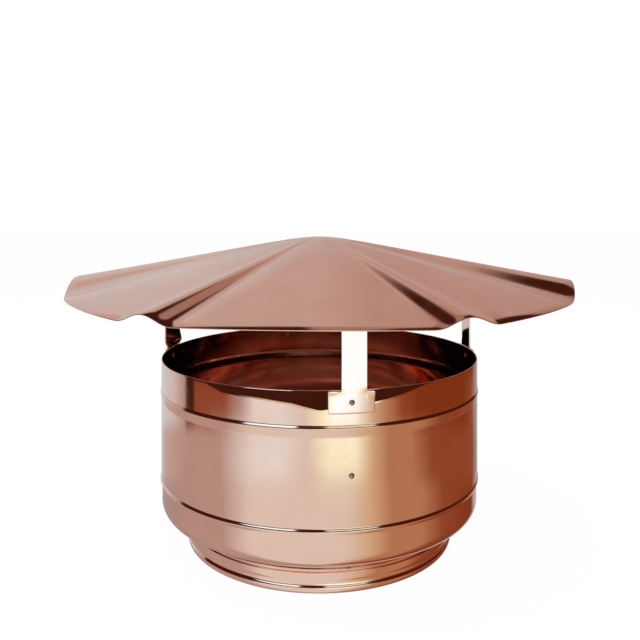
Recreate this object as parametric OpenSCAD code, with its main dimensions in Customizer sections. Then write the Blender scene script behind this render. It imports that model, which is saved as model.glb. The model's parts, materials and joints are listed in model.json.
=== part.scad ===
// Round copper chimney cap: a ribbed hat on four straps over a drum, a taper and a spigot collar.
// Millimetres, +Z up. The origin is on the axis, at the bottom edge of the collar.
// Azimuths are in degrees round the axis, 0 at the front (-Y) and growing towards +X.

/* [Sheet] */
// Thickness of the copper sheet of the drum, taper and collar
sheet_t = 0.8; // [0.5:0.1:1.2]
// Gap left between pieces that lie on each other
fit_gap = 0.15; // [0.05:0.05:0.3]

/* [Collar] */
// Outside diameter of the collar, which enters the flue
collar_d = 250; // [200:5:260]
// Height at which the taper meets the collar
collar_h = 21; // [15:1:40]
// Radius of the rolled-in bottom edge of the collar
collar_lip_r = 5; // [2:0.5:8]
// Length of collar that stands up inside the taper
collar_lap = 3; // [1:0.5:5]
// Length of the drawn-in neck that shows between the collar's wall and the taper
collar_neck = 3; // [2:0.5:5]
// How far the neck is drawn in
neck_in = 1.0; // [0.8:0.1:1.2]

/* [Drum] */
// Outside diameter of the drum
drum_d = 300; // [290:5:400]
// Height of the drum's top rim above the collar's bottom edge
rim_z = 172; // [160:2:260]
// Height of the lower edge of the drum
drum_foot_z = 59; // [56:1:70]
// Distance from the drum's lower edge up to the middle of the lower bead
low_bead_up = 3; // [3:0.5:6]
// Distance from the drum's rim down to the middle of the upper bead
high_bead_down = 29.5; // [26:0.5:45]
// Height of a bead across its two edges
bead_w = 5; // [4:0.5:6]
// How far a bead stands out of the sheet
bead_out = 0.9; // [0.5:0.1:1.5]

/* [Taper] */
// Height at which the round shoulder starts below the drum
shoulder_z = 42.5; // [40:0.5:50]
// Outside radius of the round shoulder
shoulder_r = 12.5; // [6:0.5:14]
// Length of the taper's upright wall inside the drum
taper_lap = 8; // [6:1:16]

/* [Hat] */
// Diameter of the hat
hat_d = 471; // [430:1:600]
// Height of the hat's rim above the drum's rim
hat_gap = 62.5; // [50:0.5:110]
// Rise of the hat from its rim to its top
hat_rise = 49.5; // [35:0.5:70]
// Thickness of the hat's sheet
hat_t = 0.8; // [0.6:0.1:1.2]
// Radius over which the top of the hat is rounded
crown_r = 24; // [10:1:40]
// Height of the two narrow front ribs at the rim
front_rib_h = 8; // [4:0.5:12]
// Half the angle that a narrow rib takes up
front_rib_half = 7; // [6:0.5:10]
// Height of the two broad side ribs at the rim
side_rib_h = 14; // [8:0.5:16]
// Half the angle that a broad rib takes up
side_rib_half = 17; // [12:0.5:20]
// How far the rim sinks from the middle of a panel to its ribs
panel_sag = 3.1; // [1:0.1:5]
// How fast ribs and panels deepen from the top to the rim
rib_growth = 1.3; // [1:0.1:2]

/* [Straps] */
// Width of a strap
strap_w = 20.5; // [15:0.5:25]
// Thickness of a strap
strap_t = 1.2; // [1:0.1:2]
// Width of the strap's foot, along the drum
foot_w = 37.5; // [30:0.5:45]
// Height of the strap's foot
foot_h = 18; // [15:0.5:22]
// Sideways shift of the strap from the middle of its foot
strap_shift = 2; // [-4:0.5:4]
// Length of the tab that the strap turns in under the hat
tab_len = 25; // [15:1:35]
// Gap between a tab and the hat's underside
tab_gap = 0.3; // [0.1:0.1:0.5]
// Turn of the left strap out of line with the drum
left_turn = 12; // [0:1:20]
// Extra width at the base of the left strap
left_flare = 11; // [0:1:14]
// Height over which the left strap widens to its base
left_flare_h = 26; // [15:1:35]

/* [Rivets] */
// Radius of a rivet's shank
rivet_r = 1.5; // [1.2:0.1:2]
// Radius of a rivet's round head
rivet_head_r = 2.3; // [2.2:0.1:3]
// Height of a rivet's head
rivet_head_h = 0.9; // [0.6:0.1:1.4]
// Height of a rivet's flattened tail
rivet_tail_h = 0.6; // [0.4:0.1:1]
// Height of the rivet in the middle of the drum
drum_rivet_z = 105.5; // [80:0.5:125]

/* [Hidden] */
$fn = 128;

front_azimuth = 9.7;
right_azimuth = 101;
back_azimuth = -166;
left_azimuth = -101;
seam_azimuth = 9.7;

collar_r = collar_d / 2;
collar_neck_r = collar_r - neck_in;
collar_wall_top = collar_h - collar_neck;
drum_r = drum_d / 2;
taper_out_r = drum_r - sheet_t - fit_gap;
taper_top_z = drum_foot_z + taper_lap;
bead_heights = [drum_foot_z + low_bead_up, rim_z - high_bead_down];
bead_r = (pow(bead_w / 2, 2) + pow(bead_out, 2)) / (2 * bead_out);
foot_in_r = drum_r + fit_gap;
foot_z = rim_z - foot_h;

// Each rib is its azimuth, the half angle it takes up and its height at the rim.
RIBS = [
    [-33, front_rib_half, front_rib_h],
    [27, front_rib_half, front_rib_h],
    [82, side_rib_half, side_rib_h],
    [144, front_rib_half, front_rib_h],
    [-153, front_rib_half, front_rib_h],
    [-91, side_rib_half, side_rib_h]
];
hat_r = hat_d / 2;
hat_rim_z = rim_z + hat_gap;
hat_top_z = hat_rim_z + hat_rise;
hat_sides = 180;
hat_rings = 10;
ring_spread = 1.5;
panel_half = 30;

rivet_hole_r = rivet_r + 0.1;
// Half the height of the neck where a strap's upright grows out of its foot
neck_h = 4;
cut_over = 1;

function angle_apart(a, b) = abs((a - b + 540) % 360 - 180);
function rib_wave(a, rib) =
    angle_apart(a, rib[0]) < rib[1] ? rib[2] * pow(cos(90 * angle_apart(a, rib[0]) / rib[1]), 2) : 0;
function sum(list, i = 0) = i < len(list) ? list[i] + sum(list, i + 1) : 0;
function panel_dip(a) =
    panel_sag * pow(1 - min(min([for (rib = RIBS) angle_apart(a, rib[0])]) / panel_half, 1), 2);
function cone_drop(share) =
    let (soft = crown_r / hat_r)
    hat_rise * (sqrt(share * share + soft * soft) - soft) / (sqrt(1 + soft * soft) - soft);
// Height of the hat's upper face at a radius and an azimuth
function hat_z(r, a) =
    hat_top_z - cone_drop(r / hat_r)
    + pow(r / hat_r, rib_growth) * (sum([for (rib = RIBS) rib_wave(a, rib)]) - panel_dip(a));
function on_hat(r, a, down) = [r * sin(a), -r * cos(a), hat_z(r, a) - down];

// The hat is one sheet, pressed into a low cone with ribs.
module hat() {
    ring_r = [for (k = [1 : hat_rings]) hat_r * pow(k / hat_rings, ring_spread)];
    turns = [for (i = [0 : hat_sides - 1]) i * 360 / hat_sides - 180];
    count = hat_rings * hat_sides;
    upper = [for (r = ring_r) for (a = turns) on_hat(r, a, 0)];
    lower = [for (r = ring_r) for (a = turns) on_hat(r, a, hat_t)];
    tops = [on_hat(0, 0, 0), on_hat(0, 0, hat_t)];
    top_point = 2 * count;
    rim = (hat_rings - 1) * hat_sides;
    color([0.78, 0.56, 0.49])
    polyhedron(
        points = concat(upper, lower, tops),
        faces = concat(
            [for (i = [0 : hat_sides - 1]) let (j = (i + 1) % hat_sides) [top_point, j, i]],
            [for (i = [0 : hat_sides - 1]) let (j = (i + 1) % hat_sides)
                [top_point + 1, count + i, count + j]],
            [for (k = [0 : hat_rings - 2]) for (i = [0 : hat_sides - 1])
                let (j = (i + 1) % hat_sides, p = k * hat_sides, q = p + hat_sides)
                each [[p + i, p + j, q + j], [p + i, q + j, q + i]]],
            [for (k = [0 : hat_rings - 2]) for (i = [0 : hat_sides - 1])
                let (j = (i + 1) % hat_sides, p = count + k * hat_sides, q = p + hat_sides)
                each [[p + i, q + j, p + j], [p + i, q + i, q + j]]],
            [for (i = [0 : hat_sides - 1]) let (j = (i + 1) % hat_sides)
                each [[rim + i, rim + j, count + rim + j], [rim + i, count + rim + j, count + rim + i]]]
        )
    );
}

// Half section of the drum, as thick as the sheet, with a bead pressed out at each height
module drum_outline(inset) {
    translate([0, drum_foot_z])
        square([drum_r - inset, rim_z - drum_foot_z]);
    for (z = bead_heights)
        translate([drum_r - bead_r + bead_out, z])
            circle(r = bead_r - inset);
}

module drum() {
    color([0.72, 0.50, 0.42])
    difference() {
        rotate_extrude()
            difference() {
                intersection() {
                    drum_outline(0);
                    translate([drum_r / 2, drum_foot_z])
                        square([drum_r, rim_z - drum_foot_z]);
                }
                drum_outline(sheet_t);
                translate([0, drum_foot_z - cut_over])
                    square([drum_r - sheet_t, rim_z - drum_foot_z + 2 * cut_over]);
            }
        for (a = [front_azimuth, right_azimuth, back_azimuth, left_azimuth])
            rivet_hole(a, foot_z + foot_h / 2);
        rivet_hole(seam_azimuth, drum_rivet_z);
    }
}

module rivet_hole(a, z) {
    rotate([0, 0, a])
        translate([0, -drum_r + 4 * sheet_t, z])
            rotate([90, 0, 0])
                cylinder(r = rivet_hole_r, h = 8 * sheet_t);
}

// The taper's line touches the shoulder's arc. These values place it from the collar's wall.
shoulder_mid = [taper_out_r - shoulder_r, shoulder_z];
taper_low_in = [collar_neck_r + fit_gap, collar_h];
taper_way = shoulder_mid - taper_low_in;
taper_normal = atan2(taper_way[1], -taper_way[0]) - acos((shoulder_r - sheet_t) / norm(taper_way));
taper_low_out_r = taper_low_in[0] + sheet_t / cos(taper_normal);

// Solid of revolution outline of the taper, with its wall moved inwards by an inset
module taper_outline(inset, low_r, over) {
    touch = shoulder_mid + (shoulder_r - inset) * [cos(taper_normal), -sin(taper_normal)];
    translate(shoulder_mid)
        circle(r = shoulder_r - inset);
    polygon([
        [0, collar_h - over],
        [low_r, collar_h - over],
        [low_r, collar_h],
        touch,
        shoulder_mid,
        [shoulder_mid[0], taper_top_z + over],
        [0, taper_top_z + over]
    ]);
    translate([0, shoulder_z])
        square([taper_out_r - inset, taper_top_z + over - shoulder_z]);
}

taper_rivet_share = 0.55;
module taper() {
    color([0.74, 0.52, 0.44])
    difference() {
        rotate_extrude()
            difference() {
                taper_outline(0, taper_low_out_r, 0);
                taper_outline(sheet_t, taper_low_in[0], cut_over);
            }
        at_taper_rivet()
            translate([0, -4 * sheet_t, 0])
                rotate([-90, 0, 0])
                    cylinder(r = rivet_hole_r, h = 8 * sheet_t);
    }
}

// Solid of revolution outline of the collar above its lip, moved inwards by an inset
module collar_outline(inset, over) {
    top = collar_h + collar_lap + over;
    polygon([
        [0, collar_lip_r],
        [collar_r - inset, collar_lip_r],
        [collar_r - inset, collar_wall_top],
        [collar_neck_r - inset, collar_wall_top + neck_in],
        [collar_neck_r - inset, top],
        [0, top]
    ]);
}

// The collar is a spigot with its bottom edge rolled in and its top drawn in to fit the taper.
module collar() {
    lip_x = collar_r - collar_lip_r;
    color([0.74, 0.50, 0.38])
    rotate_extrude()
        difference() {
            union() {
                difference() {
                    collar_outline(0, 0);
                    square([lip_x, collar_h + collar_lap + cut_over]);
                }
                translate([lip_x, collar_lip_r])
                    intersection() {
                        circle(r = collar_lip_r);
                        translate([0, -collar_lip_r])
                            square(collar_lip_r);
                    }
            }
            translate([lip_x, collar_lip_r])
                circle(r = collar_lip_r - sheet_t);
            collar_outline(sheet_t, cut_over);
        }
}

// Lowest point of the hat's underside over the width of a tab, at one radius
function under_hat(r, a) =
    let (side = asin((strap_w / 2 + abs(strap_shift)) / r))
    min([for (s = [-1 : 0.25 : 1]) hat_z(r, a + s * side)]) - hat_t - tab_gap;

// One strap: a curved foot on the drum, an upright and a tab that lies under the hat.
// It is drawn at the front and turned to its azimuth.
module strap(a, turn, flare) {
    tab_out_r = foot_in_r + strap_t;
    tab_in_r = tab_out_r - tab_len;
    top_out = under_hat(tab_out_r, a);
    top_in = under_hat(tab_in_r, a);
    foot_turn = 2 * asin(foot_w / 2 / drum_r);
    color([0.80, 0.58, 0.48])
    rotate([0, 0, a])
        union() {
            difference() {
                rotate([0, 0, -90 - foot_turn / 2])
                    rotate_extrude(angle = foot_turn)
                        translate([foot_in_r, foot_z])
                            square([strap_t, foot_h]);
                translate([0, -foot_in_r + strap_t, foot_z + foot_h / 2])
                    rotate([90, 0, 0])
                        cylinder(r = rivet_hole_r, h = 4 * strap_t);
            }
            translate([strap_shift, -foot_in_r, 0])
                rotate([0, 0, -turn])
                    union() {
                        upright(top_out, rim_z + fit_gap, flare);
                        tab(top_out, top_in);
                    }
            translate([strap_shift - strap_w / 2, -foot_in_r - strap_t, rim_z - neck_h])
                cube([strap_w, strap_t, 2 * neck_h]);
        }
}

module upright(top, bottom, flare) {
    rotate([90, 0, 0])
        linear_extrude(strap_t)
            polygon([
                [-strap_w / 2 - flare, bottom],
                [strap_w / 2, bottom],
                [strap_w / 2, top],
                [-strap_w / 2, top],
                [-strap_w / 2, bottom + left_flare_h]
            ]);
}

module tab(top_out, top_in) {
    translate([-strap_w / 2, 0, 0])
        rotate([90, 0, 90])
            linear_extrude(strap_w)
                polygon([
                    [-strap_t, top_out],
                    [-strap_t, top_out - strap_t],
                    [tab_len - strap_t, top_in - strap_t],
                    [tab_len - strap_t, top_in]
                ]);
}

module strap_front() { strap(front_azimuth, 0, 0); }
module strap_right() { strap(right_azimuth, 0, 0); }
module strap_back() { strap(back_azimuth, 0, 0); }
module strap_left() { strap(left_azimuth, left_turn, left_flare); }

// A rivet along +Y, with its head at the outside (-Y) and its tail behind the sheets it holds
module rivet(grip) {
    cap_r = (pow(rivet_head_r, 2) + pow(rivet_head_h, 2)) / (2 * rivet_head_h);
    rotate([-90, 0, 0])
        rotate_extrude()
            union() {
                intersection() {
                    translate([0, cap_r - rivet_head_h])
                        circle(r = cap_r);
                    translate([0, -rivet_head_h])
                        square([rivet_head_r, rivet_head_h]);
                }
                square([rivet_r, grip]);
                translate([0, grip])
                    square([rivet_head_r, rivet_tail_h]);
            }
}

module strap_rivets() {
    color([0.62, 0.40, 0.32])
    for (a = [front_azimuth, right_azimuth, back_azimuth, left_azimuth])
        rotate([0, 0, a])
            translate([0, -foot_in_r - strap_t - fit_gap, foot_z + foot_h / 2])
                rivet(strap_t + sheet_t + 3 * fit_gap);
}

// Places its children on the taper's outer face, with +Y into the sheet
module at_taper_rivet() {
    low = [taper_low_out_r, collar_h];
    high = shoulder_mid + shoulder_r * [cos(taper_normal), -sin(taper_normal)];
    spot = low + taper_rivet_share * (high - low);
    rotate([0, 0, seam_azimuth])
        translate([0, -spot[0], spot[1]])
            rotate([taper_normal, 0, 0])
                children();
}

module seam_rivets() {
    color([0.62, 0.40, 0.32])
    union() {
        rotate([0, 0, seam_azimuth])
            translate([0, -drum_r - fit_gap, drum_rivet_z])
                rivet(sheet_t + 2 * fit_gap);
        at_taper_rivet()
            translate([0, -fit_gap, 0])
                rivet(sheet_t + 2 * fit_gap);
    }
}

hat();
strap_front();
strap_right();
strap_back();
strap_left();
strap_rivets();
drum();
taper();
collar();
seam_rivets();
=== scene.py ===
# %% [markdown]
# # A round copper chimney cap
# The cap is made of polished copper sheet: a ribbed hat on four riveted straps, over a beaded drum
# that tapers to a collar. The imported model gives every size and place. This lesson loads it, builds
# a smooth sheet for each plain node, gives it a finish, and lights it as in a small product studio.

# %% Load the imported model
import json
import math
import bpy
import bmesh
from mathutils import Matrix, Vector

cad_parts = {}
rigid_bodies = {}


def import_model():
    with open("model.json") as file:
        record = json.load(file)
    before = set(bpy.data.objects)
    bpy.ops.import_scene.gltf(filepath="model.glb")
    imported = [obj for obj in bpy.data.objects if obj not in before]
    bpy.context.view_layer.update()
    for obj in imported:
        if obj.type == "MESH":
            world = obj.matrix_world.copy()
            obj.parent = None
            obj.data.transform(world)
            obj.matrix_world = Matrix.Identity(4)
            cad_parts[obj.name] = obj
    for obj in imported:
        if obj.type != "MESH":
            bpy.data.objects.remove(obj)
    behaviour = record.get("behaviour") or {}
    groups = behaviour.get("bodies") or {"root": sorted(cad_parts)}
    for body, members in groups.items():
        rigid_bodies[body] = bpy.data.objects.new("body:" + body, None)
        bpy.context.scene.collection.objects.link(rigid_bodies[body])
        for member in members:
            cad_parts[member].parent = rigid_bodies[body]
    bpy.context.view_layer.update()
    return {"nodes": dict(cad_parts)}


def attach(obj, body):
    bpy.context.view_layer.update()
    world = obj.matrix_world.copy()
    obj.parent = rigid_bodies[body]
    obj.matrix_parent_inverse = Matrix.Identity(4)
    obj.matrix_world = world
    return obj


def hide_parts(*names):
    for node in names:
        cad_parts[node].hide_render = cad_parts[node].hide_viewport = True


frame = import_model()
MM = 0.001
print("nodes:", ", ".join(sorted(frame["nodes"])))

# %% [markdown]
# ## Sizes that the pieces share
# Blender can't read the part's source, so the few sizes that more than one piece needs are repeated
# here in millimetres. Azimuths are in degrees round the axis: 0 at the front, growing to the right.

# %% Shared sizes
SHEET = 0.8
DRUM_R = 150.0
RIM_Z = 172.0
DRUM_FOOT_Z = 59.0
LOW_BEAD_Z = 62.0
HIGH_BEAD_Z = 142.5
HAT_R = 235.5
HAT_TOP_Z = 284.0
GAP = 0.15
STRAP_AZIMUTHS = {"front": 9.7, "right": 101.0, "back": -166.0, "left": -101.0}
SEAM_AZIMUTH = 9.7
CUT_BEVEL = 0.2
# Material slots of a piece: 0 is its outer face, 1 its unpolished inside, darkened as painted shade
INSIDE = 1


def place(radius, azimuth, height):
    """A point in metres from its radius and height in mm and its azimuth in degrees."""
    turn = math.radians(azimuth)
    return Vector((radius * math.sin(turn), -radius * math.cos(turn), height)) * MM


def polar(point):
    """Radius in mm, azimuth in degrees and height in mm of a point in metres."""
    return (math.hypot(point.x, point.y) / MM, math.degrees(math.atan2(point.x, -point.y)), point.z / MM)


def apart(a, b):
    """Angle between two azimuths, in degrees."""
    return abs((a - b + 540) % 360 - 180)


def smooth(t):
    """Rises smoothly from 0 to 1 while t goes from 0 to 1."""
    t = min(max(t, 0.0), 1.0)
    return t * t * (3 - 2 * t)


print("drum rim at", RIM_Z, "mm, hat top at", HAT_TOP_Z, "mm")

# %% [markdown]
# ## How a round sheet piece is made
# A metal spinner starts from one line and turns it round the axis. A bmesh does the same: the outer
# line is spun, welded and pointed outwards. Then the sheet gets its thickness and its cut edges a
# tiny bevel, which is where real sheet catches the light.

# %% Helpers for turned sheet


def arc(centre_r, centre_z, radius, start, end, count):
    """Points on an arc in the half section. Angles are in degrees, 0 outwards and 90 up."""
    turns = [math.radians(start + (end - start) * i / count) for i in range(count + 1)]
    return [(centre_r + radius * math.cos(t), centre_z + radius * math.sin(t)) for t in turns]


def spun(outline, steps=360):
    """A bmesh shell from an outline of (radius, height) pairs in mm, turned round the Z axis."""
    bm = bmesh.new()
    line = [bm.verts.new((r * MM, 0, z * MM)) for r, z in outline]
    edges = [bm.edges.new(pair) for pair in zip(line, line[1:])]
    bmesh.ops.spin(bm, geom=line + edges, cent=(0, 0, 0), axis=(0, 0, 1), angle=math.tau,
                   steps=steps, use_merge=True)
    bmesh.ops.remove_doubles(bm, verts=bm.verts, dist=1e-7)
    bmesh.ops.recalc_face_normals(bm, faces=bm.faces)
    bm.normal_update()
    return bm


def point_out(bm, way):
    """Turns the whole shell over if its faces don't look along way, a function of a face."""
    if sum(face.normal.dot(way(face)) * face.calc_area() for face in bm.faces) < 0:
        bmesh.ops.reverse_faces(bm, faces=bm.faces)
    bm.normal_update()


def outwards(face):
    middle = face.calc_center_median()
    return Vector((middle.x, middle.y, 0))


def thicken(bm, thickness):
    """Gives an open shell its wall, on the side that its faces turn away from."""
    skin = list(bm.faces)
    bmesh.ops.solidify(bm, geom=skin, thickness=thickness * MM)
    bm.normal_update()


def mark_inside(bm, way):
    """Gives the faces that look against way, a function of a face, the inside material, whose darkness
    is painted shade.
    """
    for face in bm.faces:
        if face.normal.dot(way(face).normalized()) < -0.5:
            face.material_index = INSIDE


def upwards(face):
    return Vector((0, 0, 1))


def bevel_cut_edges(bm, width):
    """Bevels the edges where the sheet was cut, which are the only ones that turn by a right angle."""
    cut = [e for e in bm.edges if len(e.link_faces) == 2 and e.calc_face_angle() > math.radians(60)]
    bmesh.ops.bevel(bm, geom=cut, offset=width * MM, affect='EDGES', segments=2, profile=0.5,
                    material=-1)


def finish_piece(bm, name, node, sharp=40):
    """Makes the bmesh an object that stands for a CAD node."""
    mesh = bpy.data.meshes.new(name)
    bm.to_mesh(mesh)
    bm.free()
    mesh.shade_smooth()
    mesh.set_sharp_from_angle(angle=math.radians(sharp))
    piece = bpy.data.objects.new(name, mesh)
    bpy.context.scene.collection.objects.link(piece)
    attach(piece, "root")
    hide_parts(node)
    print(name, "has", sum(len(p.vertices) - 2 for p in mesh.polygons), "triangles")
    return piece


print("cut edges get a bevel of", CUT_BEVEL, "mm")

# %% [markdown]
# ## The drum
# On the real cap this is a rolled and seamed cylinder with two beads pressed out to stiffen it. The
# line that is spun carries the beads as soft bumps, closely divided there and near the rim. After
# the spin single points are moved: the thin rim is bent in round the riveted front foot. The bend
# starts at a line that runs deepest beside the foot and comes up to the rim at both sides.

# %% Drum
BEAD_HALF = 2.6
BEAD_OUT = 0.75
BEAD_REACH = 4
BEAD_STEP = 0.35
RIM_STEP = 0.8
WALL_STEP = 4.0


def bead(z, middle):
    """How far a bead stands out of the wall at a height."""
    t = min(abs(z - middle) / BEAD_HALF, 1)
    return BEAD_OUT * math.cos(math.pi / 2 * t) ** 1.5


def drum_heights():
    """Heights of the rings of the drum, closer where its form changes."""
    z, found = DRUM_FOOT_Z, []
    while z < RIM_Z - 0.01:
        found.append(z)
        near = min(abs(z - LOW_BEAD_Z), abs(z - HIGH_BEAD_Z))
        plain_step = RIM_STEP if z > HIGH_BEAD_Z else WALL_STEP
        z += BEAD_STEP if near < BEAD_REACH else plain_step
    return found + [RIM_Z]


# Depth of the bend's line below the rim, as azimuth and mm
BEND_LINE = [(-38, 0), (-31, 5.4), (-17, 7.4), (-8, 9.8), (0, 15.2), (17, 10.0), (22, 8.2), (38, 0)]
BEND_SLOPE = math.tan(math.radians(11))
BEND_SOFT = 0.6


def bend_depth(azimuth):
    """How far below the rim the bend starts."""
    for (a, low), (b, high) in zip(BEND_LINE, BEND_LINE[1:]):
        if a <= azimuth <= b:
            return low + (high - low) * (azimuth - a) / (b - a)
    return 0.0


def rim_lean(azimuth, z):
    """How far the rim is bent in round the front foot."""
    past = z - RIM_Z + bend_depth(azimuth)
    return BEND_SLOPE * (past + math.hypot(past, BEND_SOFT)) / 2


drum_shell = spun([(DRUM_R + bead(z, LOW_BEAD_Z) + bead(z, HIGH_BEAD_Z), z) for z in drum_heights()])
point_out(drum_shell, outwards)
for vert in drum_shell.verts:
    r, azimuth, z = polar(vert.co)
    vert.co = place(r - rim_lean(azimuth, z), azimuth, z)
drum_shell.normal_update()
thicken(drum_shell, SHEET)
bevel_cut_edges(drum_shell, CUT_BEVEL)
mark_inside(drum_shell, outwards)
drum = finish_piece(drum_shell, "drum_sheet", "drum")

# %% [markdown]
# ## The taper
# Below the drum the sheet turns in over a round shoulder and runs straight to the collar. Its line
# is an upright wall, an arc and a slope that touches the arc, so the reflection flows over it.

# %% Taper
TAPER_R = DRUM_R - SHEET - GAP
SHOULDER_R = 12.5
SHOULDER_Z = 42.5
COLLAR_TOP = 21.0
NECK_R = 124.0
slope_way = Vector((TAPER_R - SHOULDER_R - (NECK_R + GAP), SHOULDER_Z - COLLAR_TOP))
slope_turn = math.degrees(math.atan2(slope_way.y, -slope_way.x)
                          - math.acos((SHOULDER_R - SHEET) / slope_way.length))
low_r = NECK_R + GAP + SHEET / math.cos(math.radians(slope_turn))
taper_line = [(TAPER_R, z) for z in (67.0, 63.0, 59.0, 55.0, 51.0, 47.0, 44.5)]
taper_line += arc(TAPER_R - SHOULDER_R, SHOULDER_Z, SHOULDER_R, 0, -slope_turn, 16)
touch_r, touch_z = taper_line[-1]
taper_line += [(touch_r + (low_r - touch_r) * i / 8, touch_z + (COLLAR_TOP - touch_z) * i / 8)
               for i in range(1, 9)]
taper_shell = spun(taper_line)
point_out(taper_shell, outwards)
thicken(taper_shell, SHEET)
bevel_cut_edges(taper_shell, CUT_BEVEL)
mark_inside(taper_shell, outwards)
taper = finish_piece(taper_shell, "taper_sheet", "taper")
print("the taper's slope turns", round(slope_turn, 1), "degrees down from upright")

# %% [markdown]
# ## The collar
# The collar enters the flue. Its bottom edge is rolled in, and a shallow groove runs round above the
# roll. The groove's lower side looks up, so it catches the light as a bright line.

# %% Collar
COLLAR_R = 125.0
LIP_R = 5.0
GROOVE = 0.7
collar_line = [(NECK_R, 24.0), (NECK_R, 21.0), (NECK_R, 19.0), (COLLAR_R, 18.0), (COLLAR_R, 15.0),
               (COLLAR_R, 13.0), (COLLAR_R - 0.2 * GROOVE, 12.5), (COLLAR_R - 0.8 * GROOVE, 11.5),
               (COLLAR_R - GROOVE, 11.0), (COLLAR_R - GROOVE, 7.9), (COLLAR_R - 0.8 * GROOVE, 7.6),
               (COLLAR_R - 0.2 * GROOVE, 6.6), (COLLAR_R, 6.2)]
collar_line += arc(COLLAR_R - LIP_R, LIP_R, LIP_R, 0, -90, 14)
collar_shell = spun(collar_line)
point_out(collar_shell, outwards)
thicken(collar_shell, SHEET)
bevel_cut_edges(collar_shell, CUT_BEVEL)
mark_inside(collar_shell, outwards)
collar = finish_piece(collar_shell, "collar_sheet", "collar")

# %% [markdown]
# ## The hat
# The hat is pressed from one disc: a low cone with six ribs, two of them broad, whose rim sags
# between them. The disc is spun as a cone and each point is then lifted by the same rule as in the
# part's source, so ribs and panels run out softly to the top.

# %% Hat
RIBS = [(-33, 7, 8), (27, 7, 8), (82, 17, 14), (144, 7, 8), (-153, 7, 8), (-91, 17, 14)]
HAT_RISE = 49.5
HAT_RINGS = 36
RING_SPREAD = 1.3
HAT_STEPS = 540
PANEL_HALF = 30
CROWN = 24.0 / HAT_R
PANEL_SAG = 3.1
RIB_GROWTH = 1.3
# Degrees over which the crest of a rib is rounded
CREST_SOFT = 2.0


def cone_drop(share):
    soft = CROWN
    return HAT_RISE * (math.hypot(share, soft) - soft) / (math.hypot(1, soft) - soft)


def rib_lift(azimuth):
    """Height of the ribs at the rim, at an azimuth."""
    lift = 0
    for middle, half, height in RIBS:
        away = apart(azimuth, middle)
        if away < half:
            lift += height * math.cos(math.pi / 2 * away / half) ** 2
    return lift


def panel_dip(azimuth):
    """How far a panel's rim hangs below the plain cone, most beside a rib."""
    near = math.hypot(min(apart(azimuth, rib[0]) for rib in RIBS), CREST_SOFT) - CREST_SOFT
    return PANEL_SAG * (1 - min(near / PANEL_HALF, 1)) ** 2


def hat_z(radius, azimuth):
    """Height of the hat's upper face in mm."""
    share = radius / HAT_R
    return HAT_TOP_Z - cone_drop(share) + share ** RIB_GROWTH * (rib_lift(azimuth) - panel_dip(azimuth))


hat_shares = [(i / HAT_RINGS) ** RING_SPREAD for i in range(HAT_RINGS + 1)]
hat_shell = spun([(HAT_R * s, HAT_TOP_Z - cone_drop(s)) for s in hat_shares], steps=HAT_STEPS)
point_out(hat_shell, upwards)
for vert in hat_shell.verts:
    r, azimuth, z = polar(vert.co)
    vert.co.z = hat_z(r, azimuth) * MM
hat_shell.normal_update()
thicken(hat_shell, SHEET)
bevel_cut_edges(hat_shell, CUT_BEVEL)
mark_inside(hat_shell, upwards)
hat = finish_piece(hat_shell, "hat_sheet", "hat")

# %% [markdown]
# ## The straps
# Each strap is cut flat from copper strip as a T and then bent: its foot follows the drum, its
# upright stays flat, and its end is folded in as a tab under the hat. The script does the same. One
# flat face gets its corners rounded, is cut into narrow strips so that it can bend, and each point
# is then carried to its place along the fold line.

# %% Strap helpers
STRAP_W = 20.5
STRAP_T = 1.2
FOOT_W = 37.5
FOOT_H = 18.0
STRAP_SHIFT = 2.0
TAB = 25.0
TAB_GAP = 0.3
FOLD_R = 2.2
FACE_R = DRUM_R + GAP + STRAP_T
BLANK_L = 138.0
LEFT_FLARE_H = 26.0
CORNER_R = 1.2
ROW_H = 1.5
COLUMN_W = 2.0
NECK_H = 4.0
STRAP_BEVEL = 0.25


def under_hat(radius, azimuth):
    """Lowest point of the hat's underside over a tab's width, less the gap to the tab."""
    side = math.degrees(math.asin((STRAP_W / 2 + STRAP_SHIFT) / radius))
    steps = [-1 + 0.25 * i for i in range(9)]
    return min(hat_z(radius, azimuth + s * side) for s in steps) - SHEET - TAB_GAP


def blank(length, flare):
    """The flat T: u runs across (x), v runs from the foot's lower edge to the tab's end (y), in mm."""
    left, right = STRAP_SHIFT - STRAP_W / 2, STRAP_SHIFT + STRAP_W / 2
    corners = [(-FOOT_W / 2, 0), (FOOT_W / 2, 0), (FOOT_W / 2, FOOT_H), (right, FOOT_H), (right, length),
               (left, length)]
    if flare:
        corners += [(left, FOOT_H + LEFT_FLARE_H), (-FOOT_W / 2, FOOT_H)]
    else:
        corners += [(left, FOOT_H), (-FOOT_W / 2, FOOT_H)]
    bm = bmesh.new()
    bm.faces.new([bm.verts.new((u, v, 0)) for u, v in corners])
    outer = [v for v in bm.verts if v.co.y < 0.1 or v.co.y > length - 0.1
             or (abs(v.co.y - FOOT_H) < 0.1 and abs(v.co.x) > FOOT_W / 2 - 0.1)]
    bmesh.ops.bevel(bm, geom=outer, offset=CORNER_R, affect='VERTICES', segments=3, profile=0.5,
                    material=-1)
    for i in range(1, int(length / ROW_H) + 1):
        bmesh.ops.bisect_plane(bm, geom=bm.verts[:] + bm.edges[:] + bm.faces[:], dist=1e-4,
                               plane_co=(0, i * ROW_H, 0), plane_no=(0, 1, 0))
    columns = int(FOOT_W / 2 / COLUMN_W)
    for i in range(-columns, columns + 1):
        bmesh.ops.bisect_plane(bm, geom=bm.verts[:] + bm.edges[:] + bm.faces[:], dist=1e-4,
                               plane_co=(i * COLUMN_W, 0, 0), plane_no=(1, 0, 0))
    return bm


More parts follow.
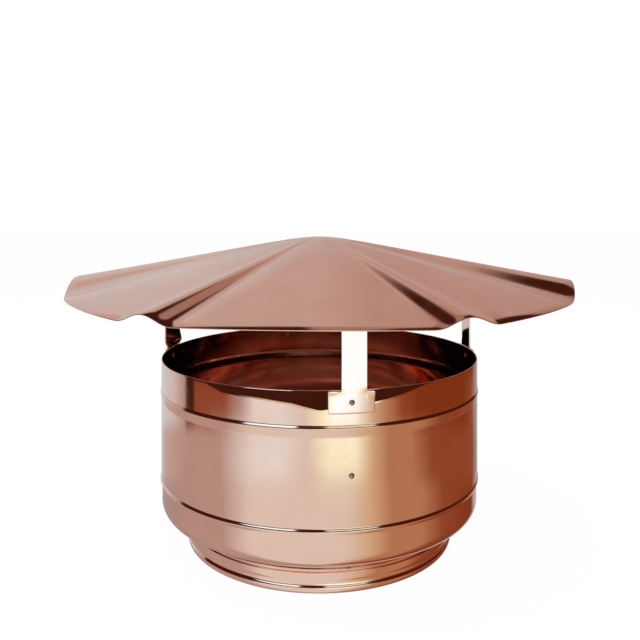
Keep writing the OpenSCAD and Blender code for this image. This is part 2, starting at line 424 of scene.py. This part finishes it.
def bent(azimuth, u, v, turn, corner):
    """Where a point of the blank goes on the cap, in metres, for a strap at an azimuth."""
    top_out = under_hat(FACE_R, azimuth)
    top_in = under_hat(FACE_R - TAB, azimuth)
    rise = math.atan2(top_in - top_out, TAB)
    fold = math.pi / 2 - rise
    straight = top_out - (RIM_Z - FOOT_H) - FOLD_R * math.tan(fold / 2)
    past = v - straight
    out, up = 0.0, min(v, straight)
    if past > 0:
        swing = min(past / FOLD_R, fold)
        out -= FOLD_R * (1 - math.cos(swing))
        up += FOLD_R * math.sin(swing)
        rest = past - FOLD_R * fold
        if rest > 0:
            out -= rest * math.cos(rise)
            up += rest * math.sin(rise)
    z = RIM_Z - FOOT_H + up
    flat = smooth((z - RIM_Z + NECK_H) / (2 * NECK_H))
    wrap = math.radians(azimuth) + u / FACE_R
    on_drum = Vector((FACE_R * math.sin(wrap), -FACE_R * math.cos(wrap), z))
    twist = math.radians(-turn) * smooth((z - RIM_Z + 1) / (2 * NECK_H))
    across, depth = u - STRAP_SHIFT, -out
    x = STRAP_SHIFT + across * math.cos(twist) - depth * math.sin(twist)
    y = -FACE_R + across * math.sin(twist) + depth * math.cos(twist)
    on_flat = Matrix.Rotation(math.radians(azimuth), 3, 'Z') @ Vector((x, y, z))
    point = on_drum.lerp(on_flat, flat)
    bent_right = smooth((u - FOOT_W / 3 + 0.5) / 6)
    bent_top = smooth((z - RIM_Z + 8) / 7)
    lift = corner * bent_right * bent_top
    outward = Vector((math.sin(wrap), -math.cos(wrap), 0))
    return (point + outward * lift * (1 - flat)) * MM


def strap(name, node, azimuth, turn=0, flare=False, corner=0.0):
    """Cuts, bends and thickens one strap."""
    bm = blank(BLANK_L, flare)
    for vert in bm.verts:
        vert.co = bent(azimuth, vert.co.x, vert.co.y, turn, corner)
    bm.normal_update()
    outward = place(1, azimuth, 0)
    foot = [f for f in bm.faces if f.calc_center_median().z < RIM_Z * MM]
    if sum(f.normal.dot(outward) for f in foot) < 0:
        bmesh.ops.reverse_faces(bm, faces=bm.faces)
        bm.normal_update()
    thicken(bm, STRAP_T)
    bevel_cut_edges(bm, STRAP_BEVEL)
    return finish_piece(bm, name, node)


print("a strap is cut", BLANK_L, "mm long")

# %% Four straps
strap("front_strap", "strap_front", STRAP_AZIMUTHS["front"], corner=1.2)
strap("right_strap", "strap_right", STRAP_AZIMUTHS["right"])
strap("back_strap", "strap_back", STRAP_AZIMUTHS["back"])
strap("left_strap", "strap_left", STRAP_AZIMUTHS["left"], turn=12, flare=True)

# %% [markdown]
# ## The rivets
# Solid copper rivets hold the straps and the seams. Each is a domed head, a shank and a flattened
# tail on one turned line, moved to its place with a matrix.

# %% Rivets
RIVET_R = 1.5
HEAD_R = 2.3
HEAD_H = 0.9
TAIL_H = 0.6
TAIL_CHAMFER = 0.2
DRUM_RIVET_Z = 105.5
TAPER_RIVET_SHARE = 0.55


def rivet(bm, matrix, grip):
    """Adds one rivet along local -Z, with its head on top."""
    dome_r = (HEAD_R ** 2 + HEAD_H ** 2) / (2 * HEAD_H)
    edge = math.degrees(math.asin(HEAD_R / dome_r))
    end = -grip - TAIL_H
    line = [(0, end), (HEAD_R - TAIL_CHAMFER, end), (HEAD_R, end + TAIL_CHAMFER), (HEAD_R, -grip),
            (RIVET_R, -grip), (RIVET_R, 0)]
    line += [(r, max(z, 0)) for r, z in arc(0, HEAD_H - dome_r, dome_r, 90 - edge, 90, 8)]
    one = spun([(abs(r), z) for r, z in line], steps=24)
    bmesh.ops.recalc_face_normals(one, faces=one.faces)
    mesh = bpy.data.meshes.new("rivet_form")
    one.to_mesh(mesh)
    one.free()
    mesh.transform(matrix)
    bm.from_mesh(mesh)
    bpy.data.meshes.remove(mesh)


def facing(azimuth, radius, height, tilt=0):
    """A matrix that stands local +Z on the wall at an azimuth, turned down by tilt degrees."""
    return (Matrix.Rotation(math.radians(azimuth), 4, 'Z')
            @ Matrix.Translation(Vector((0, -radius, height)) * MM)
            @ Matrix.Rotation(math.radians(90 + tilt), 4, 'X'))


foot_rivets = bmesh.new()
for azimuth in STRAP_AZIMUTHS.values():
    rivet(foot_rivets, facing(azimuth, FACE_R + GAP, RIM_Z - FOOT_H / 2), STRAP_T + SHEET + 3 * GAP)
finish_piece(foot_rivets, "foot_rivets", "strap_rivets")

seam_rivets = bmesh.new()
rivet(seam_rivets, facing(SEAM_AZIMUTH, DRUM_R + GAP, DRUM_RIVET_Z), SHEET + 2 * GAP)
rivet_r = low_r + TAPER_RIVET_SHARE * (touch_r - low_r)
rivet_z = COLLAR_TOP + TAPER_RIVET_SHARE * (touch_z - COLLAR_TOP)
off = Vector((math.cos(math.radians(slope_turn)), -math.sin(math.radians(slope_turn)))) * GAP
on_slope = facing(SEAM_AZIMUTH, rivet_r + off.x, rivet_z + off.y, slope_turn)
rivet(seam_rivets, on_slope, SHEET + 2 * GAP)
finish_piece(seam_rivets, "seam_rivets_turned", "seam_rivets")

# %% [markdown]
# ## The finishes
# Everything is copper. The sheet is rolled and polished, so nearly all of its look is what it
# mirrors: a metal has no colour of its own beside the tint of its reflection. What tells copper from
# a perfect mirror is small: the sheet isn't quite flat, it is a little hazy where it was wiped or
# touched, and it has fine hairlines from the polish.

# %% Helpers for materials


def colour(code):
    """Linear RGBA from an sRGB hex colour."""
    parts = [int(code[i:i + 2], 16) / 255 for i in (1, 3, 5)]
    return [c / 12.92 if c <= 0.04045 else ((c + 0.055) / 1.055) ** 2.4 for c in parts] + [1]


def add_node(tree, kind, values=None, links=None, **settings):
    """Adds a node, sets its properties and input values, and links its inputs."""
    node = tree.nodes.new(kind)
    for key, value in settings.items():
        setattr(node, key, value)
    for key, value in (values or {}).items():
        node.inputs[key].default_value = value
    for key, socket in (links or {}).items():
        tree.links.new(socket, node.inputs[key])
    return node


def new_material(name):
    """An empty node material and its tree."""
    material = bpy.data.materials.new(name)
    material.use_nodes = True
    material.node_tree.nodes.clear()
    return material, material.node_tree


print("copper tint, linear:", [round(c, 3) for c in colour("#FAD0C1")[:3]])

# %% [markdown]
# ## Polished copper sheet
# Rolled copper, buffed to a mirror. Clean copper reflects about 95% of red, 64% of green and 54% of
# blue. Three patterns break the mirror: waves about 70 mm long from handling, hazy patches where it
# was wiped, and hairlines under a tenth of a millimetre, drawn coarser so that they show.

# %% Polished copper sheet
copper, tree = new_material("polished_copper_sheet")
coords = add_node(tree, "ShaderNodeTexCoord")
patches = add_node(tree, "ShaderNodeTexNoise", {"Scale": 22, "Detail": 5, "Roughness": 0.6},
                   {"Vector": coords.outputs["Object"]})
haze = add_node(tree, "ShaderNodeMapRange", {"From Min": 0.42, "From Max": 0.72, "To Min": 0.05,
                                             "To Max": 0.13}, {"Value": patches.outputs["Fac"]})
tarnish = add_node(tree, "ShaderNodeValToRGB", links={"Fac": patches.outputs["Fac"]})
tarnish.color_ramp.elements[0].position = 0.35
tarnish.color_ramp.elements[0].color = colour("#FAD0C1")
tarnish.color_ramp.elements[1].position = 0.85
tarnish.color_ramp.elements[1].color = colour("#F3C3B0")
waves = add_node(tree, "ShaderNodeTexNoise", {"Scale": 14, "Detail": 1, "Roughness": 0.4},
                 {"Vector": coords.outputs["Object"]})
stretch = add_node(tree, "ShaderNodeMapping", {"Scale": (60, 60, 1400)},
                   {"Vector": coords.outputs["Object"]})
hairs = add_node(tree, "ShaderNodeTexNoise", {"Scale": 1, "Detail": 2, "Roughness": 0.7},
                 {"Vector": stretch.outputs["Vector"]})
wave_bump = add_node(tree, "ShaderNodeBump", {"Strength": 1, "Distance": 0.00025},
                     {"Height": waves.outputs["Fac"]})
hair_bump = add_node(tree, "ShaderNodeBump", {"Strength": 0.06, "Distance": 0.00001},
                     {"Height": hairs.outputs["Fac"], "Normal": wave_bump.outputs["Normal"]})
skin = add_node(tree, "ShaderNodeBsdfPrincipled", {"Metallic": 1},
                {"Base Color": tarnish.outputs["Color"], "Roughness": haze.outputs["Result"],
                 "Normal": hair_bump.outputs["Normal"]})
add_node(tree, "ShaderNodeOutputMaterial", links={"Surface": skin.outputs["BSDF"]})
print(copper.name, "has", len(tree.nodes), "nodes")

# %% [markdown]
# ## Unpolished copper inside
# The inner faces were never buffed. Mill finish copper is browner and spreads its reflection, and a
# deep space between such faces loses its light after a few bounces. Its colour here is also set far
# darker than copper's own, as painted shade for the deep inside.

# %% Unpolished copper inside, with painted shade
inside_copper_painted_shade, tree = new_material("mill_copper_inside_painted_shade")
coords = add_node(tree, "ShaderNodeTexCoord")
blotches = add_node(tree, "ShaderNodeTexNoise", {"Scale": 30, "Detail": 4, "Roughness": 0.6},
                    {"Vector": coords.outputs["Object"]})
# Dark brown tones mixed by noise: painted shade for the deep inside, far below copper's own colour
inside_painted_shade_tone = add_node(tree, "ShaderNodeValToRGB", links={"Fac": blotches.outputs["Fac"]})
inside_painted_shade_tone.color_ramp.elements[0].position = 0.3
inside_painted_shade_tone.color_ramp.elements[0].color = colour("#6C2C1E")
inside_painted_shade_tone.color_ramp.elements[1].position = 0.75
inside_painted_shade_tone.color_ramp.elements[1].color = colour("#86402E")
inner = add_node(tree, "ShaderNodeBsdfPrincipled", {"Metallic": 1, "Roughness": 0.24},
                 {"Base Color": inside_painted_shade_tone.outputs["Color"]})
add_node(tree, "ShaderNodeOutputMaterial", links={"Surface": inner.outputs["BSDF"]})
print(inside_copper_painted_shade.name, "has", len(tree.nodes), "nodes")

# %% [markdown]
# ## Dull copper rivets
# A rivet's head is hammered, not buffed, so it spreads the light and mirrors nothing sharply.

# %% Dull copper rivets
dull, tree = new_material("hammered_copper_rivet")
coords = add_node(tree, "ShaderNodeTexCoord")
dents = add_node(tree, "ShaderNodeTexNoise", {"Scale": 900, "Detail": 2},
                 {"Vector": coords.outputs["Object"]})
stain = add_node(tree, "ShaderNodeValToRGB", links={"Fac": dents.outputs["Fac"]})
stain.color_ramp.elements[0].position = 0.3
stain.color_ramp.elements[0].color = colour("#B08068")
stain.color_ramp.elements[1].position = 0.7
stain.color_ramp.elements[1].color = colour("#DDB49E")
dent_bump = add_node(tree, "ShaderNodeBump", {"Strength": 0.5, "Distance": 0.0002},
                     {"Height": dents.outputs["Fac"]})
head = add_node(tree, "ShaderNodeBsdfPrincipled", {"Metallic": 1, "Roughness": 0.38},
                {"Base Color": stain.outputs["Color"], "Normal": dent_bump.outputs["Normal"]})
add_node(tree, "ShaderNodeOutputMaterial", links={"Surface": head.outputs["BSDF"]})
print(dull.name, "has", len(tree.nodes), "nodes")

# %% Assign the finishes
for item in list(bpy.context.scene.objects):
    if item.type == 'MESH':
        item.data.materials.clear()
        item.data.materials.append(dull if "rivet" in item.name else copper)
        # Slot 1, the inner faces, takes the inside copper with painted shade
        item.data.materials.append(inside_copper_painted_shade)

# %% [markdown]
# ## The studio that the copper mirrors
# A polished piece is lit by what stands round it. Seen from the cap, a pale sheet hangs behind it, a
# tall soft light stands at the front left and a cream one beside it, dark cards close the sides, and
# the table in front carries white and tan card. The world holds all of these by direction, in rings
# from the table up, and shows plain white to the camera.

# %% World
world = bpy.data.worlds.new("studio_world")
bpy.context.scene.world = world
world.use_nodes = True
tree = world.node_tree
tree.nodes.clear()
way = add_node(tree, "ShaderNodeTexCoord")
split = add_node(tree, "ShaderNodeSeparateXYZ", links={0: way.outputs["Generated"]})
front = add_node(tree, "ShaderNodeMath", {1: -1.0}, {0: split.outputs["Y"]}, operation='MULTIPLY')
around = add_node(tree, "ShaderNodeMath", links={0: split.outputs["X"], 1: front.outputs[0]},
                  operation='ARCTAN2')
turn_share = add_node(tree, "ShaderNodeMapRange", {"From Min": -math.pi, "From Max": math.pi},
                      {"Value": around.outputs[0]})
upward = add_node(tree, "ShaderNodeMath", links={0: split.outputs["Z"]}, operation='ARCSINE')


def ring_ramp(stops):
    """A ramp round the horizon. Each stop is an azimuth in degrees and a linear colour."""
    ramp = add_node(tree, "ShaderNodeValToRGB", links={"Fac": turn_share.outputs["Result"]})
    points = ramp.color_ramp.elements
    closed = [(-180, stops[0][1])] + stops + [(180, stops[0][1])]
    while len(points) < len(closed):
        points.new(0.5)
    for point, (azimuth, rgb) in zip(points, closed):
        point.position = (azimuth + 180) / 360
        point.color = (*rgb, 1)
    return ramp.outputs["Color"]


def between(low, high):
    """Rises from 0 to 1 between two elevations in degrees."""
    step = add_node(tree, "ShaderNodeMapRange",
                    {"From Min": math.radians(low), "From Max": math.radians(high)},
                    {"Value": upward.outputs[0]}, interpolation_type='SMOOTHSTEP')
    return step.outputs["Result"]


def blend_by(share, below, above):
    """Mixes two colours by a share."""
    mix = add_node(tree, "ShaderNodeMix", links={0: share, 6: below, 7: above}, data_type='RGBA')
    return mix.outputs[2]


print("directions of the studio are ready")

# %% [markdown]
# ## The cards and lights of the studio
# Each colour is what a card or light gives off, before the copper tints it. A ring lists where its
# cards change, by azimuth, and the rings are stacked from the table upwards.

# %% Cards and lights
WHITE_SHEET = (0.64, 0.73, 0.78)
PALE_SHEET = (0.62, 0.62, 0.62)
TINTED_SHEET = (0.56, 0.47, 0.43)
WARM_SHEET = (0.50, 0.37, 0.33)
GREY_SHEET = (0.54, 0.50, 0.49)
SHADED_SHEET = (0.42, 0.36, 0.35)
DUSKY_SHEET = (0.38, 0.25, 0.20)
GREY_CARD = (0.49, 0.41, 0.38)
SOFT_LIGHT = (0.83, 1.02, 1.06)
SHADED_LIGHT = (0.76, 0.83, 0.80)
BRIGHT_LIGHT = (1.10, 1.62, 1.85)
CREAM_LIGHT = (0.90, 1.00, 0.75)
CREAM_CARD = (1.06, 1.38, 1.08)
TAN_CARD = (0.67, 0.60, 0.40)
OCHRE_CARD = (0.47, 0.27, 0.15)
BROWN_CARD = (0.29, 0.09, 0.04)
DARK_CARD = (0.22, 0.05, 0.012)
DARK_ROOM = (0.05, 0.013, 0.007)

table_near = ring_ramp([(-165, SHADED_SHEET), (-125, SHADED_SHEET), (-105, GREY_CARD), (-70, GREY_CARD),
                        (-48, SHADED_LIGHT), (0, SHADED_LIGHT), (18, SHADED_LIGHT), (34, TAN_CARD),
                        (50, OCHRE_CARD), (75, OCHRE_CARD), (95, BROWN_CARD), (140, DARK_CARD),
                        (150, GREY_SHEET), (165, GREY_SHEET)])
table_far = ring_ramp([(-165, WHITE_SHEET), (-145, GREY_SHEET), (-110, GREY_CARD), (-72, GREY_CARD),
                       (-46, SOFT_LIGHT), (-26, SOFT_LIGHT), (-8, SHADED_LIGHT), (6, CREAM_CARD),
                       (24, CREAM_CARD), (36, TAN_CARD), (48, OCHRE_CARD), (66, OCHRE_CARD),
                       (84, BROWN_CARD), (140, BROWN_CARD), (155, SHADED_SHEET), (168, GREY_SHEET)])
table_edge = ring_ramp([(-165, WHITE_SHEET), (-125, WHITE_SHEET), (-108, GREY_CARD), (-106, DARK_ROOM),
                        (-98, DARK_ROOM), (-96, BROWN_CARD), (-68, BROWN_CARD), (-54, GREY_CARD),
                        (-44, SOFT_LIGHT), (-26, SOFT_LIGHT), (-10, SHADED_LIGHT), (4, CREAM_CARD),
                        (10, BRIGHT_LIGHT), (24, BRIGHT_LIGHT), (36, TAN_CARD), (48, OCHRE_CARD),
                        (58, BROWN_CARD), (72, DARK_CARD), (122, DARK_CARD), (138, BROWN_CARD),
                        (152, SHADED_SHEET), (168, GREY_SHEET)])
low_light = ring_ramp([(-165, WHITE_SHEET), (-125, WHITE_SHEET), (-108, GREY_CARD), (-105, DARK_ROOM),
                       (-56, DARK_ROOM), (-44, GREY_CARD), (-32, TAN_CARD), (-6, TAN_CARD),
                       (4, CREAM_CARD), (8, BRIGHT_LIGHT), (37, BRIGHT_LIGHT), (43, OCHRE_CARD),
                       (54, DARK_CARD), (140, DARK_CARD), (152, SHADED_SHEET), (168, GREY_SHEET)])
dark_wall = ring_ramp([(-180, GREY_SHEET), (-165, PALE_SHEET), (-125, GREY_SHEET), (-108, GREY_CARD),
                       (-105, DARK_ROOM), (140, DARK_ROOM), (150, DUSKY_SHEET), (162, WARM_SHEET)])
lights = ring_ramp([(-180, GREY_SHEET), (-165, PALE_SHEET), (-135, GREY_SHEET), (-108, GREY_CARD),
                    (-105, DARK_ROOM), (-54, DARK_ROOM), (-50, BRIGHT_LIGHT), (-17, BRIGHT_LIGHT),
                    (-15, DARK_ROOM), (3, DARK_ROOM), (6, CREAM_LIGHT), (37, CREAM_LIGHT),
                    (41, DARK_ROOM), (140, DARK_ROOM), (150, DUSKY_SHEET), (160, WARM_SHEET),
                    (170, WARM_SHEET)])
above_sheet = ring_ramp([(-180, TINTED_SHEET), (-150, TINTED_SHEET), (-130, GREY_CARD),
                         (-105, DUSKY_SHEET), (-54, DUSKY_SHEET), (-50, SOFT_LIGHT), (-17, SOFT_LIGHT),
                         (-15, DUSKY_SHEET), (120, DUSKY_SHEET), (130, DARK_ROOM), (157, DARK_ROOM),
                         (162, WARM_SHEET), (172, WARM_SHEET)])
overhead = ring_ramp([(-180, DUSKY_SHEET), (-177, DARK_ROOM), (-120, DARK_ROOM), (-105, DUSKY_SHEET),
                      (-54, DUSKY_SHEET), (-50, SOFT_LIGHT), (-17, SOFT_LIGHT), (-15, DUSKY_SHEET),
                      (110, DUSKY_SHEET), (122, DARK_ROOM), (160, DARK_ROOM), (166, DUSKY_SHEET)])
seen = table_near
# Each ring takes over from the one below between two elevations
rings = [(-21, -19, table_far), (-17, -15.5, table_edge), (-13.5, -12, low_light), (-5, -3, dark_wall),
         (13, 17, lights), (27, 30, above_sheet), (39, 46, overhead)]
for low, high, ring in rings:
    seen = blend_by(between(low, high), seen, ring)
paths = add_node(tree, "ShaderNodeLightPath")
plain = add_node(tree, "ShaderNodeMix", {7: (1, 1, 1, 1)}, {0: paths.outputs["Is Camera Ray"], 6: seen},
                 data_type='RGBA')
shine = add_node(tree, "ShaderNodeBackground", {"Strength": 1}, {"Color": plain.outputs[2]})
add_node(tree, "ShaderNodeOutputWorld", links={"Surface": shine.outputs[0]})
print("the studio has", len(rings) + 1, "rings")

# %% [markdown]
# ## The floor
# The cap stands on white paper that runs out of the picture. The camera sees it almost at paper
# white, with a share left for the soft shadow. Only a disc of it under the cap shows in the metal:
# the rest of what lies in front is in the world, where its colour can be set by direction.

# %% Floor
PAPER_GLOW = 0.985
FLOOR_R = 6.0
UNDER_CAP_R = 0.118
paper, tree = new_material("white_paper_floor")
paths = add_node(tree, "ShaderNodeLightPath")
matt = add_node(tree, "ShaderNodeBsdfDiffuse", {"Color": colour("#F4F4F2")})
glow = add_node(tree, "ShaderNodeEmission", {"Color": (1, 1, 1, 1), "Strength": 1})
share = add_node(tree, "ShaderNodeMath", {1: PAPER_GLOW}, {0: paths.outputs["Is Camera Ray"]},
                 operation='MULTIPLY')
both = add_node(tree, "ShaderNodeMixShader", links={0: share.outputs[0], 1: matt.outputs[0],
                                                    2: glow.outputs[0]})
add_node(tree, "ShaderNodeOutputMaterial", links={"Surface": both.outputs[0]})


def stage_disc(name, radius, height):
    """A flat disc of paper that isn't part of the cap."""
    bm = bmesh.new()
    bmesh.ops.create_circle(bm, cap_ends=True, cap_tris=False, segments=96, radius=radius)
    bmesh.ops.translate(bm, verts=bm.verts, vec=(0, 0, height))
    mesh = bpy.data.meshes.new(name)
    bm.to_mesh(mesh)
    bm.free()
    disc = bpy.data.objects.new(name, mesh)
    mesh.materials.append(paper)
    bpy.context.scene.collection.objects.link(disc)
    return disc


floor = stage_disc("paper_floor", FLOOR_R, -0.0004)
floor.visible_glossy = False
stage_disc("paper_under_cap", UNDER_CAP_R, -0.0002)
print("the paper is", 2 * FLOOR_R, "m across")

# %% [markdown]
# ## Lamp and camera
# One large soft lamp hangs above and lights the paper. The copper doesn't mirror it, since the
# world already holds the soft light. The camera stands level, 760 mm from the axis and 326 mm up,
# and looks down by its shift, as the photograph's straight uprights show.

# %% Lamp and camera
lamp = bpy.data.lights.new("soft_lamp", 'AREA')
lamp.shape = 'DISK'
lamp.size = 1.6
lamp.energy = 60
lamp_object = bpy.data.objects.new("soft_lamp", lamp)
lamp_object.location = (-0.3, -0.2, 1.6)
lamp_object.visible_glossy = False
bpy.context.scene.collection.objects.link(lamp_object)
lamp_way = -lamp_object.location
lamp_object.rotation_euler = lamp_way.to_track_quat('-Z', 'Y').to_euler()

eye = bpy.data.cameras.new("front_camera")
eye.lens = 44.128
eye.sensor_width = 36
eye.shift_y = -0.19875
eye_object = bpy.data.objects.new("front_camera", eye)
eye_object.location = (0.0006, -0.760, 0.3264)
eye_object.rotation_euler = (math.radians(90), 0, 0)
bpy.context.scene.collection.objects.link(eye_object)
bpy.context.scene.camera = eye_object
bpy.context.scene.view_settings.view_transform = 'Standard'
print("camera at", tuple(round(v, 4) for v in eye_object.location), "m, lens", eye.lens, "mm")
